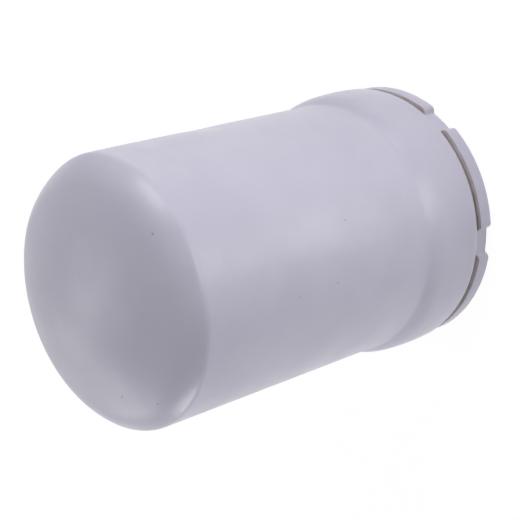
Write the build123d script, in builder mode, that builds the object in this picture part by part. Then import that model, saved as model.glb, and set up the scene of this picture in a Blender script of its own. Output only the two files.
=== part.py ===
"""Spin-on transmission filter: a deep-drawn can closed by a castellated thread collar.

The filter stands on its mouth with the dome up. The origin is on the axis, in the plane of the
collar's mouth face. Sizes are in millimetres and +Z runs from the mouth to the dome.
"""

import os
from math import asin, atan2, cos, degrees, hypot, pi, radians, sin, sqrt

from build123d import *

os.makedirs("parts", exist_ok=True)

# Driving dimensions of the can
can_wall = 1.2
body_radius = 54.0
lip_height = 9.7
lip_step = 2.6
bend_rise = 1.7
bend_step = 3.2
band_height = 19.7
band_step = 3.5
ridge_height = 29.0
ridge_step = 3.1
shoulder_length = 9.0
shoulder_bulge = 0.7
shoulder_fillet = 5.0
crease_height = 157.8
crease_angle = 27.4
crease_fillet = 1.5
knuckle_radius = 24.2
crown_radius = 110.0

# Driving dimensions of the thread collar and its seals
collar_clearance = 0.15
flange_step = 1.65
flange_gap = 1.9
flange_chamfer = 0.5
lug_count = 6
lug_depth = 2.4
lug_height = 6.4
lug_corner = 1.8
notch_width = 10.6
notch_flare = 1.1
collar_wall = 8.1
seal_seat_width = 4.6
seal_seat_depth = 4.6
seal_recess = 0.8
seal_side_gap = 0.2
seal_edge = 0.6
ring_groove_height = 21.0
ring_groove_width = 3.8
ring_thickness = 3.2
ring_groove_floor_gap = 0.1
bead_gap = 0.05
bead_bulge = 0.35

# Driving dimensions of the flow plate
plate_sheet = 1.2
plate_gap = 1.8
plate_boss_rise = 3.2
plate_boss_width = 5.6
plate_ramp = 2.6
plate_hole_gap = 0.9
inlet_count = 12
inlet_radius = 3.8

# Driving dimensions of the filter element
cap_sheet = 0.8
element_gap = 5.8
cap_skirt = 5.0
potting_height = 2.4
potting_gap = 0.1
tube_radius = 20.4
tube_wall = 0.7
tube_hole_radius = 2.3
tube_hole_columns = 8
tube_hole_pitch = 10.0
media_side_gap = 0.4
media_tube_gap = 0.3
pleat_count = 56
pleat_crest = 1.5
pleat_root = 0.9
paper = 0.5
clip_wall = 0.5
clip_depth = 6.0
clip_gap = 0.15
clip_end_gap = 0.6
grommet_wall = 3.5
grommet_lip = 2.2
grommet_catch = 0.9
grommet_depth = 3.0
grommet_rise = 2.2
grommet_gap = 0.1
grommet_lead = 0.8

# Driving dimensions of the bypass valve
cage_gap = 5.4
cage_sheet = 0.8
cage_depth = 24.0
cage_window_width = 11.0
cage_window_height = 13.0
cage_window_drop = 6.0
cage_windows = 4
seat_wall = 3.4
seat_drop = 3.4
seat_flange = 2.6
seat_flange_height = 1.3
seat_gap = 0.05
valve_gap = 0.05
poppet_gap = 1.0
poppet_thickness = 1.4
poppet_edge = 0.3
poppet_stem_radius = 2.6
poppet_stem_gap = 0.3
poppet_stem_overhang = 5.0
washer_thickness = 0.9
washer_lap = 1.8
washer_margin = 0.3
valve_spring_radius = 7.2
valve_spring_wire = 1.2
valve_spring_turns = 5

# Driving dimensions of the element spring and its cup
spring_seat_gap = 3.35
spring_wire = 3.2
spring_turns = 3
spring_length = 27.0
cup_sheet = 0.9
cup_rim_margin = 3.4
cup_boss_drop = 3.0
cup_boss_gap = 0.5
cup_ramp = 1.2
cup_dome_gap = 0.05

# Sizes worked out for the can
lip_radius = body_radius + lip_step
bend_radius = body_radius + bend_step
bend_height = lip_height + bend_rise
band_radius = body_radius + band_step
ridge_radius = body_radius + ridge_step
shoulder_height = ridge_height + shoulder_length
knuckle_center = (
    body_radius - knuckle_radius * cos(radians(crease_angle)),
    crease_height - knuckle_radius * sin(radians(crease_angle)),
)
crown_reach = crown_radius - knuckle_radius
crown_center_height = knuckle_center[1] - sqrt(crown_reach**2 - knuckle_center[0] ** 2)
crown_angle = degrees(atan2(knuckle_center[1] - crown_center_height, knuckle_center[0]))
can_bore = body_radius - can_wall

# Sizes worked out for the collar
flange_radius = ridge_radius - can_wall - collar_clearance
ring_radius = flange_radius - flange_step
lug_radius = ring_radius + lug_depth
thread_radius = ring_radius - collar_wall
seal_seat_radius = thread_radius + seal_seat_width
flange_start = lip_height + flange_gap
collar_height = ridge_height
ring_outer_radius = band_radius - can_wall - seat_gap
ring_groove_radius = ring_outer_radius - ring_thickness - ring_groove_floor_gap

# Radii across the element
cap_radius = can_bore - element_gap
media_radius = cap_radius - cap_sheet - media_side_gap
media_inner_radius = tube_radius + media_tube_gap
tube_bore = tube_radius - tube_wall
cap_hole_radius = tube_bore - grommet_catch - grommet_gap
grommet_bore = cap_hole_radius - grommet_wall
grommet_radius = cap_hole_radius + grommet_lip
plate_hole_radius = grommet_radius + plate_hole_gap
plate_boss_radius = plate_hole_radius + plate_boss_width
cage_radius = tube_bore - cage_gap
seat_radius = cage_radius - cage_sheet - seat_gap
seat_bore = seat_radius - seat_wall
poppet_radius = cage_radius - cage_sheet - poppet_gap
spring_radius = seat_radius + seat_flange + spring_seat_gap + spring_wire / 2
cup_rim = spring_radius + spring_wire / 2 + cup_rim_margin

# Heights up the element, from the flow plate to the spring cup
plate_top = collar_height + plate_boss_rise + plate_sheet
top_cap_face = plate_top + cap_sheet
dome_inner_radius = crown_radius - can_wall
cup_top = crown_center_height + sqrt(dome_inner_radius**2 - cup_rim**2) - cup_dome_gap
spring_top = cup_top - cup_sheet
spring_bottom = spring_top - spring_length
bottom_cap_face = spring_bottom - cap_sheet
media_bottom = top_cap_face + potting_height
media_top = bottom_cap_face - potting_height

# Heights of the bypass valve, which hangs under the dome cap
seat_face = bottom_cap_face - seat_drop
cage_top = bottom_cap_face - seat_gap
cage_floor = cage_top - cage_depth
poppet_top = seat_face - valve_gap
poppet_disc_top = poppet_top - washer_thickness
poppet_disc_bottom = poppet_disc_top - poppet_thickness


def sheet_section(points, thickness):
    """Fill the section of a pressed sheet from the points along its lower or outer side."""
    with BuildLine() as outline:
        Polyline(*points)
        offset(amount=thickness, side=Side.LEFT)
    make_face(outline.edges())


def box_section(inner_radius, outer_radius, low, high):
    """Fill a rectangular section between two radii and two heights."""
    with BuildLine() as outline:
        Polyline(
            (inner_radius, low), (outer_radius, low), (outer_radius, high), (inner_radius, high), close=True
        )
    make_face(outline.edges())


def coil(wire, mean_radius, low, high, turns):
    """Wind a spring of round wire that fills the height between the low and high planes."""
    rise = high - low - wire
    helix = Helix(pitch=rise / turns, height=rise, radius=mean_radius, center=(0, 0, low + wire / 2))
    with BuildSketch(Plane(origin=helix @ 0, z_dir=helix % 0)) as section:
        Circle(wire / 2)
    sweep(section.sketch, path=helix, is_frenet=True)


# The can is one deep-drawn shell: crimped lip, wide mouth band, shoulder, straight body and dome
with BuildPart() as can:
    with BuildSketch(Plane.XZ):
        with BuildLine() as can_line:
            Line((lip_radius, lip_height), (bend_radius, bend_height))
            ThreePointArc(
                (bend_radius, bend_height), (band_radius, band_height), (ridge_radius, ridge_height)
            )
            SagittaArc((ridge_radius, ridge_height), (body_radius, shoulder_height), -shoulder_bulge)
            Line((body_radius, shoulder_height), (body_radius, crease_height))
            CenterArc(knuckle_center, knuckle_radius, crease_angle, crown_angle - crease_angle)
            CenterArc((0, crown_center_height), crown_radius, crown_angle, 90 - crown_angle)
            corner = can_line.vertices().sort_by_distance(Vector(body_radius, shoulder_height))[0]
            fillet(corner, shoulder_fillet)
            crease = can_line.vertices().sort_by_distance(Vector(body_radius, crease_height))[0]
            fillet(crease, crease_fillet)
            offset(amount=can_wall, side=Side.LEFT)
        make_face()
    revolve(axis=Axis.Z)
can.part.label = "can"
export_step(can.part, "parts/can.step")

# The thread collar is a turned ring: lugs at the mouth, a groove for the lip and a flange inside the band
with BuildPart() as thread_collar:
    with BuildSketch(Plane.XZ):
        with BuildLine():
            Polyline(
                (thread_radius, seal_seat_depth),
                (seal_seat_radius, seal_seat_depth),
                (seal_seat_radius, 0),
                (lug_radius, 0),
                (lug_radius, lug_height),
                (ring_radius, lug_height),
                (ring_radius, flange_start),
                (flange_radius - flange_chamfer, flange_start),
                (flange_radius, flange_start + flange_chamfer),
                (flange_radius, ring_groove_height - ring_groove_width / 2),
                (ring_groove_radius, ring_groove_height - ring_groove_width / 2),
                (ring_groove_radius, ring_groove_height + ring_groove_width / 2),
                (flange_radius, ring_groove_height + ring_groove_width / 2),
                (flange_radius, collar_height - flange_chamfer),
                (flange_radius - flange_chamfer, collar_height),
                (thread_radius, collar_height),
                close=True,
            )
        make_face()
    revolve(axis=Axis.Z)
    notch_edge = lug_radius + lug_depth
    notch_mouth = notch_width / 2 + 2 * notch_flare
    with BuildSketch(Plane.XY):
        with PolarLocations(0, lug_count):
            Polygon(
                (ring_radius - lug_depth, -notch_width / 2),
                (ring_radius, -notch_width / 2),
                (notch_edge, -notch_mouth),
                (notch_edge, notch_mouth),
                (ring_radius, notch_width / 2),
                (ring_radius - lug_depth, notch_width / 2),
                align=None,
            )
        Circle(ring_radius, mode=Mode.SUBTRACT)
    extrude(amount=lug_height, mode=Mode.SUBTRACT)
    upright = thread_collar.edges().filter_by(Axis.Z)
    lug_middle = ring_radius + lug_depth / 2
    lug_corners = upright.filter_by(lambda edge: hypot(edge.center().X, edge.center().Y) > lug_middle)
    fillet(lug_corners, lug_corner)
thread_collar.part.label = "thread_collar"
export_step(thread_collar.part, "parts/thread_collar.step")

# Sealing compound fills the gap between the can's lip and the collar
with BuildPart() as lip_sealant:
    with BuildSketch(Plane.XZ):
        bead_low = lug_height + bead_gap
        bead_radius = lip_radius - can_wall - bead_gap
        with BuildLine():
            SagittaArc((ring_radius, bead_low), (bead_radius, lip_height), -bead_bulge)
            Polyline(
                (bead_radius, lip_height),
                (bead_radius, flange_start),
                (ring_radius, flange_start),
                (ring_radius, bead_low),
            )
        make_face()
    revolve(axis=Axis.Z)
lip_sealant.part.label = "lip_sealant"
export_step(lip_sealant.part, "parts/lip_sealant.step")

# A round sealing ring closes the joint between the collar's flange and the can's band
with BuildPart() as collar_ring:
    with BuildSketch(Plane.XZ):
        with Locations((ring_outer_radius - ring_thickness / 2, ring_groove_height)):
            Circle(ring_thickness / 2)
    revolve(axis=Axis.Z)
collar_ring.part.label = "collar_ring"
export_step(collar_ring.part, "parts/collar_ring.step")

# The face seal is a square rubber ring in the collar's mouth
with BuildPart() as face_seal:
    with BuildSketch(Plane.XZ) as seal_section:
        seal_inner = thread_radius + 3 * seal_side_gap
        box_section(seal_inner, seal_seat_radius - seal_side_gap, seal_recess, seal_seat_depth)
        fillet(seal_section.vertices().group_by(Axis.Y)[0], seal_edge)
    revolve(axis=Axis.Z)
face_seal.part.label = "face_seal"
export_step(face_seal.part, "parts/face_seal.step")

# The flow plate is a pressed disc on the collar's inner end, with a raised boss that carries the element
with BuildPart() as flow_plate:
    with BuildSketch(Plane.XZ):
        sheet_section(
            [
                (plate_hole_radius, collar_height + plate_boss_rise),
                (plate_boss_radius, collar_height + plate_boss_rise),
                (plate_boss_radius + plate_ramp, collar_height),
                (can_bore - plate_gap, collar_height),
            ],
            plate_sheet,
        )
    revolve(axis=Axis.Z)
    inlet_circle = (plate_boss_radius + plate_ramp + thread_radius) / 2
    with BuildSketch(Plane.XY.offset(collar_height)):
        with PolarLocations(inlet_circle, inlet_count):
            Circle(inlet_radius)
    extrude(amount=plate_sheet, mode=Mode.SUBTRACT)
flow_plate.part.label = "flow_plate"
export_step(flow_plate.part, "parts/flow_plate.step")

# The cap at the mouth end holds the grommet and the potting
with BuildPart() as mouth_cap:
    with BuildSketch(Plane.XZ):
        sheet_section(
            [(cap_hole_radius, plate_top), (cap_radius, plate_top), (cap_radius, plate_top + cap_skirt)],
            cap_sheet,
        )
    revolve(axis=Axis.Z)
mouth_cap.part.label = "mouth_cap"
export_step(mouth_cap.part, "parts/mouth_cap.step")

# The grommet is snapped over the edge of the cap's hole and seals on the pipe of the filter head
with BuildPart() as outlet_grommet:
    with BuildSketch(Plane.XZ):
        neck = cap_hole_radius - grommet_gap
        with BuildLine():
            Polyline(
                (grommet_bore, top_cap_face + grommet_rise),
                (grommet_bore, plate_top - grommet_depth + grommet_lead),
                (grommet_bore + grommet_lead, plate_top - grommet_depth),
                (grommet_radius - grommet_lead, plate_top - grommet_depth),
                (grommet_radius, plate_top - grommet_depth + grommet_lead),
                (grommet_radius, plate_top - grommet_gap),
                (neck, plate_top - grommet_gap),
                (neck, top_cap_face + grommet_gap),
                (neck + grommet_catch, top_cap_face + grommet_gap),
                (neck, top_cap_face + grommet_rise),
                close=True,
            )
        make_face()
    revolve(axis=Axis.Z)
outlet_grommet.part.label = "outlet_grommet"
export_step(outlet_grommet.part, "parts/outlet_grommet.step")


def potting_ring(low):
    """Fill a potting ring between the centre tube and a cap's skirt, from the height given."""
    potting_rim = cap_radius - cap_sheet - potting_gap
    with BuildSketch(Plane.XZ) as section:
        box_section(tube_radius + potting_gap, potting_rim, low, low + potting_height)
    revolve(section.sketch, axis=Axis.Z)


with BuildPart() as mouth_potting:
    potting_ring(top_cap_face)
mouth_potting.part.label = "mouth_potting"
export_step(mouth_potting.part, "parts/mouth_potting.step")

with BuildPart() as dome_potting:
    potting_ring(media_top)
dome_potting.part.label = "dome_potting"
export_step(dome_potting.part, "parts/dome_potting.step")

# The centre tube is rolled sheet with staggered rows of round holes
with BuildPart() as centre_tube:
    with BuildSketch(Plane.XY.offset(top_cap_face)):
        Circle(tube_radius)
        Circle(tube_bore, mode=Mode.SUBTRACT)
    extrude(amount=bottom_cap_face - top_cap_face)
    tube_hole_rows = int((media_top - cage_depth - media_bottom) / tube_hole_pitch)
    for row in range(tube_hole_rows):
        row_height = media_bottom + (row + 0.5) * tube_hole_pitch
        row_turn = (row % 2) * 180 / tube_hole_columns
        with Locations((0, 0, row_height)):
            with PolarLocations(tube_radius, tube_hole_columns, start_angle=row_turn):
                Cylinder(tube_hole_radius, 4 * tube_wall, rotation=(0, 90, 0), mode=Mode.SUBTRACT)
centre_tube.part.label = "centre_tube"
export_step(centre_tube.part, "parts/centre_tube.step")


def pleat_outline(inset):
    """List the corners of the folded paper's outer side, or of its inner side at the paper's inset."""
    pitch = 2 * pi / pleat_count
    crest_half = asin((pleat_crest / 2 - inset) / (media_radius - inset))
    root_radius = media_inner_radius + paper - inset
    root_half = asin((pleat_root / 2 + inset) / root_radius)
    corners = []
    for pleat in range(pleat_count):
        crest = pleat * pitch
        root = crest + pitch / 2
        for radius, angle in (
            (media_radius - inset, crest - crest_half),
            (media_radius - inset, crest + crest_half),
            (root_radius, root - root_half),
            (root_radius, root + root_half),
        ):
            corners.append((radius * cos(angle), radius * sin(angle)))
    return corners


# The media is one sheet of paper folded into deep radial pleats around the tube
with BuildPart() as pleated_media:
    with BuildSketch(Plane.XY.offset(media_bottom)):
        with BuildLine():
            Polyline(*pleat_outline(0), close=True)
        make_face()
        with BuildLine():
            Polyline(*pleat_outline(paper), close=True)
        make_face(mode=Mode.SUBTRACT)
    extrude(amount=media_top - media_bottom)
pleated_media.part.label = "pleated_media"
export_step(pleated_media.part, "parts/pleated_media.step")

# A folded steel strip grips the pleat where the paper's two ends meet
with BuildPart() as seam_clip:
    clip_half = pleat_crest / 2 + clip_gap
    clip_back = media_radius + clip_gap
    clip_low = plate_top + cap_skirt + clip_end_gap
    clip_high = spring_bottom - cap_skirt - clip_end_gap
    with BuildSketch(Plane.XY.offset(clip_low)):
        with BuildLine():
            Polyline(
                (clip_back - clip_depth, -clip_half),
                (clip_back, -clip_half),
                (clip_back, clip_half),
                (clip_back - clip_depth, clip_half),
            )
            offset(amount=clip_wall, side=Side.RIGHT)
        make_face()
    extrude(amount=clip_high - clip_low)
seam_clip.part.label = "seam_clip"
export_step(seam_clip.part, "parts/seam_clip.step")

# The cap at the dome end carries the bypass valve and the element spring
with BuildPart() as dome_cap:
    with BuildSketch(Plane.XZ):
        sheet_section(
            [
                (cap_radius, spring_bottom - cap_skirt),
                (cap_radius, spring_bottom),
                (seat_radius + seat_gap, spring_bottom),
            ],
            cap_sheet,
        )
    revolve(axis=Axis.Z)
dome_cap.part.label = "dome_cap"
export_step(dome_cap.part, "parts/dome_cap.step")

# The valve seat is a turned ring through the dome cap, with a flange on the cap
with BuildPart() as bypass_seat:
    with BuildSketch(Plane.XZ):
        with BuildLine():
            Polyline(
                (seat_bore, seat_face),
                (seat_radius, seat_face),
                (seat_radius, spring_bottom),
                (seat_radius + seat_flange, spring_bottom),
                (seat_radius + seat_flange, spring_bottom + seat_flange_height),
                (seat_bore, spring_bottom + seat_flange_height),
                close=True,
            )
        make_face()
    revolve(axis=Axis.Z)
bypass_seat.part.label = "bypass_seat"
export_step(bypass_seat.part, "parts/bypass_seat.step")

# The valve cage is a pressed cup on the seat, with windows for the flow and a guide hole in its floor
with BuildPart() as bypass_cage:
    with BuildSketch(Plane.XZ):
        sheet_section(
            [
                (poppet_stem_radius + poppet_stem_gap, cage_floor),
                (cage_radius, cage_floor),
                (cage_radius, cage_top),
            ],
            cage_sheet,
        )
    revolve(axis=Axis.Z)
    window_height = cage_top - cage_window_drop - cage_window_height / 2
    with Locations((0, 0, window_height)):
        with PolarLocations(cage_radius, cage_windows):
            Box(4 * cage_sheet, cage_window_width, cage_window_height, mode=Mode.SUBTRACT)
bypass_cage.part.label = "bypass_cage"
export_step(bypass_cage.part, "parts/bypass_cage.step")

# The poppet is a disc on a guide stem that slides in the cage's floor
with BuildPart() as bypass_poppet:
    with BuildSketch(Plane.XZ):
        stem_end = cage_floor - poppet_stem_overhang
        with BuildLine():
            Polyline(
                (0, poppet_disc_top),
                (0, stem_end),
                (poppet_stem_radius - poppet_edge, stem_end),
                (poppet_stem_radius, stem_end + poppet_edge),
                (poppet_stem_radius, poppet_disc_bottom),
                (poppet_radius - poppet_edge, poppet_disc_bottom),
                (poppet_radius, poppet_disc_bottom + poppet_edge),
                (poppet_radius, poppet_disc_top),
                close=True,
            )
        make_face()
    revolve(axis=Axis.Z)
bypass_poppet.part.label = "bypass_poppet"
export_step(bypass_poppet.part, "parts/bypass_poppet.step")

# A rubber washer on the poppet closes against the seat
with BuildPart() as poppet_washer:
    with BuildSketch(Plane.XZ):
        box_section(seat_bore - washer_lap, poppet_radius - washer_margin, poppet_disc_top, poppet_top)
    revolve(axis=Axis.Z)
poppet_washer.part.label = "poppet_washer"
export_step(poppet_washer.part, "parts/poppet_washer.step")

# The valve spring stands on the cage's floor and holds the poppet shut
with BuildPart() as bypass_spring:
    coil(
        valve_spring_wire,
        valve_spring_radius,
        cage_floor + cage_sheet,
        poppet_disc_bottom - valve_gap,
        valve_spring_turns,
    )
bypass_spring.part.label = "bypass_spring"
export_step(bypass_spring.part, "parts/bypass_spring.step")

# The element spring presses the element onto the flow plate
with BuildPart() as element_spring:
    coil(spring_wire, spring_radius, spring_bottom, spring_top, spring_turns)
element_spring.part.label = "element_spring"
export_step(element_spring.part, "parts/element_spring.step")

# The spring cup centres the element spring in the dome
with BuildPart() as spring_cup:
    with BuildSketch(Plane.XZ):
        cup_boss_radius = spring_radius - spring_wire / 2 - cup_boss_gap
        sheet_section(
            [
                (0, spring_top - cup_boss_drop),
                (cup_boss_radius - cup_ramp, spring_top - cup_boss_drop),
                (cup_boss_radius, spring_top),
                (cup_rim, spring_top),
            ],
            cup_sheet,
        )
    revolve(axis=Axis.Z)
spring_cup.part.label = "spring_cup"
export_step(spring_cup.part, "parts/spring_cup.step")
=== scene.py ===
"""Dress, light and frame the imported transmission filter.

The filter stands on its mouth with the dome up. Sizes in the classes are in millimetres, as a
maker would write them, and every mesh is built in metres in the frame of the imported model.
"""

import logging
import math
from collections.abc import Callable, Sequence
from dataclasses import dataclass, field
from enum import Enum

import bmesh
import bpy
from mathutils import Matrix, Vector

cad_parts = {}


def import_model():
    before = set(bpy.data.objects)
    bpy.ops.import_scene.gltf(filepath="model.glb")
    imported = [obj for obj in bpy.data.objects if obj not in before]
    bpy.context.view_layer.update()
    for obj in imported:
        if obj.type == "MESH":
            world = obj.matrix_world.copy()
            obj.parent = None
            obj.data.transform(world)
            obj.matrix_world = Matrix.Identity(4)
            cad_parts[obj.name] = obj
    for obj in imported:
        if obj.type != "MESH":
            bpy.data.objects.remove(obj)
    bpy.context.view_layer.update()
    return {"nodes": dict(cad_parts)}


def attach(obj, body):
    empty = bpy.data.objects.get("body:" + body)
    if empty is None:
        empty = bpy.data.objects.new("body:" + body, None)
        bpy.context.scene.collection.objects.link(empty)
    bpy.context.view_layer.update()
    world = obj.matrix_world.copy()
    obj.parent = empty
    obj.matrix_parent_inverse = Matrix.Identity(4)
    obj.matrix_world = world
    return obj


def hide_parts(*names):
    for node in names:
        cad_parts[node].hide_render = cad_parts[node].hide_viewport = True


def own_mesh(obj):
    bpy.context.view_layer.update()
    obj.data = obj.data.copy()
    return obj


log = logging.getLogger("filter")

MM = 0.001
PHOTO_SIDE = 520
SENSOR_WIDTH = 36.0
BODY = "filter"
MERGE = 0.002 * MM
CLOSE = 0.001 * MM
ORIGIN = (0.0, 0.0, 0.0)
UP = (0.0, 0.0, 1.0)
WHITE = (1.0, 1.0, 1.0, 1.0)

Socket = bpy.types.NodeSocket
Point2 = tuple[float, float]
Color = tuple[float, float, float]


class Shade(Enum):
    """How a finished mesh is shaded."""

    SMOOTH = math.pi
    CREASED = math.radians(32.0)


def deselect_all() -> None:
    """Leave object mode with nothing selected."""
    if bpy.context.object and bpy.context.object.mode != "OBJECT":
        bpy.ops.object.mode_set(mode="OBJECT")
    bpy.ops.object.select_all(action="DESELECT")


def make_active(piece: bpy.types.Object) -> None:
    """Select one object alone and make it the active one.

    Args:
        piece: the object that the next operators work on.
    """
    deselect_all()
    piece.select_set(True)
    bpy.context.view_layer.objects.active = piece


def edit_all(piece: bpy.types.Object) -> None:
    """Go into edit mode on one object with all of it selected.

    Args:
        piece: the object.
    """
    make_active(piece)
    bpy.ops.object.mode_set(mode="EDIT")
    bpy.ops.mesh.select_all(action="SELECT")


def select_elements(piece: bpy.types.Object, kind: str, wanted: Callable[[object], bool]) -> None:
    """Select the points, edges or faces of a mesh in edit mode by a test on each.

    Args:
        piece: the object being edited.
        kind: "VERT", "EDGE" or "FACE".
        wanted: the test, given the element.
    """
    bpy.ops.mesh.select_mode(type=kind)
    bpy.ops.mesh.select_all(action="DESELECT")
    mesh = bmesh.from_edit_mesh(piece.data)
    elements = {"VERT": mesh.verts, "EDGE": mesh.edges, "FACE": mesh.faces}[kind]
    for element in filter(wanted, list(elements)):
        element.select_set(True)
    bmesh.update_edit_mesh(piece.data)


def direction(turn: float, rise: float) -> Vector:
    """Point a unit vector away from the filter's axis.

    Args:
        turn: its angle round the axis from X, in degrees.
        rise: its angle above level, in degrees.

    Returns:
        The vector.
    """
    turn, rise = math.radians(turn), math.radians(rise)
    return Vector((math.cos(turn) * math.cos(rise), math.sin(turn) * math.cos(rise), math.sin(rise)))


def arc(centre: Point2, radius: float, start: float, end: float, count: int) -> list[Point2]:
    """List points along an arc in the plane of radius and height.

    Args:
        centre: the arc's centre.
        radius: the arc's radius.
        start: the first point's angle in radians.
        end: the last point's angle in radians.
        count: the number of spans.

    Returns:
        The points, both ends among them.
    """
    steps = [start + (end - start) * step / count for step in range(count + 1)]
    return [(centre[0] + radius * math.cos(turn), centre[1] + radius * math.sin(turn)) for turn in steps]


def bulge(start: Point2, end: Point2, rise: float, count: int) -> list[Point2]:
    """List points along a shallow arc between two points.

    Args:
        start: the first point.
        end: the last point.
        rise: how far the arc stands out of its chord, to the right of the way along it.
        count: the number of spans.

    Returns:
        The points, both ends among them.
    """
    along = Vector(end) - Vector(start)
    right = Vector((along.y, -along.x)).normalized()
    points = []
    for step in range(count + 1):
        share = step / count
        point = Vector(start) + along * share + right * rise * 4.0 * share * (1.0 - share)
        points.append((point.x, point.y))
    return points


def stretch(start: Point2, end: Point2, count: int) -> list[Point2]:
    """List evenly spaced points on a straight line.

    Args:
        start: the first point.
        end: the last point.
        count: the number of spans.

    Returns:
        The points, both ends among them.
    """
    return bulge(start, end, 0.0, count)


def round_corners(points: Sequence[Point2], reach: float, rounds: int) -> list[Point2]:
    """Soften an outline by moving each inner point towards its neighbours.

    Args:
        points: the outline.
        reach: how far each point moves, from 0 to 1.
        rounds: how often.

    Returns:
        The softened outline, with its ends kept.
    """
    line = [Vector(point) for point in points]
    for _ in range(rounds):
        inner = [
            here.lerp((before + after) / 2.0, reach) for before, here, after in zip(line, line[1:], line[2:])
        ]
        line = [line[0], *inner, line[-1]]
    return [(point.x, point.y) for point in line]


def inset(points: Sequence[Point2], wall: float) -> list[Point2]:
    """Offset an outline to its left by a wall's thickness.

    Args:
        points: the outer side, from the mouth up to the axis.
        wall: the thickness.

    Returns:
        The inner side, point by point.
    """
    inner = []
    for place, point in enumerate(points):
        before = Vector(points[max(place - 1, 0)])
        after = Vector(points[min(place + 1, len(points) - 1)])
        along = (after - before).normalized()
        inner.append((max(point[0] - along.y * wall, 0.0), point[1] + along.x * wall))
    inner[-1] = (0.0, inner[-1][1])
    return inner


def draw_outline(name: str, outline: Sequence[Point2]) -> bpy.types.Object:
    """Draw an outline as a chain of edges and stay in edit mode with all of it selected.

    Args:
        name: the new object's name.
        outline: points of radius and height in millimetres, repeated at the end if it is closed.

    Returns:
        The object.
    """
    deselect_all()
    bpy.ops.mesh.primitive_plane_add(size=MM, location=ORIGIN)
    piece = bpy.context.object
    piece.name = name
    bpy.ops.object.mode_set(mode="EDIT")
    bpy.ops.mesh.select_mode(type="VERT")
    bpy.ops.mesh.select_all(action="SELECT")
    bpy.ops.mesh.merge(type="CENTER")
    here = Vector((outline[0][0] * MM, 0.0, outline[0][1] * MM))
    bpy.ops.transform.translate(value=here)
    for radius, height in outline[1:]:
        there = Vector((radius * MM, 0.0, height * MM))
        bpy.ops.mesh.extrude_vertices_move(TRANSFORM_OT_translate={"value": there - here})
        here = there
    bpy.ops.mesh.select_all(action="SELECT")
    return piece


def spin_outline(name: str, outline: Sequence[Point2], steps: int) -> bpy.types.Object:
    """Turn an outline about the Z axis into a mesh.

    Args:
        name: the new object's name.
        outline: points of radius and height in millimetres, repeated at the end if it is closed.
        steps: the number of spans round the axis.

    Returns:
        The spun object.
    """
    piece = draw_outline(name, outline)
    piece.data.name = name
    bpy.ops.mesh.spin(steps=steps, angle=2.0 * math.pi, center=ORIGIN, axis=UP)
    bpy.ops.mesh.select_all(action="SELECT")
    bpy.ops.mesh.remove_doubles(threshold=MERGE)
    bpy.ops.mesh.normals_make_consistent(inside=False)
    bpy.ops.object.mode_set(mode="OBJECT")
    return piece


def bevel_edges(piece: bpy.types.Object, width: float, segments: int, angle: float) -> None:
    """Round the sharp edges of a mesh with an applied Bevel modifier.

    Args:
        piece: the object.
        width: the bevel's width in millimetres.
        segments: the number of spans across it.
        angle: edges sharper than this many degrees are rounded.
    """
    make_active(piece)
    modifier = piece.modifiers.new("edge_round", "BEVEL")
    modifier.width = width * MM
    modifier.segments = segments
    modifier.limit_method = "ANGLE"
    modifier.angle_limit = math.radians(angle)
    bpy.ops.object.modifier_apply(modifier=modifier.name)


def settle(piece: bpy.types.Object, body: str, shade: Shade) -> bpy.types.Object:
    """Bake a piece's place into its mesh, shade it and let it ride on its body.

    Args:
        piece: the finished object.
        body: the name of the body that carries it.
        shade: how its faces are shaded.

    Returns:
        The same object.
    """
    make_active(piece)
    bpy.ops.object.transform_apply(location=True, rotation=True, scale=True)
    bpy.ops.object.shade_smooth_by_angle(angle=shade.value)
    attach(piece, body)
    return piece


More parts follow.
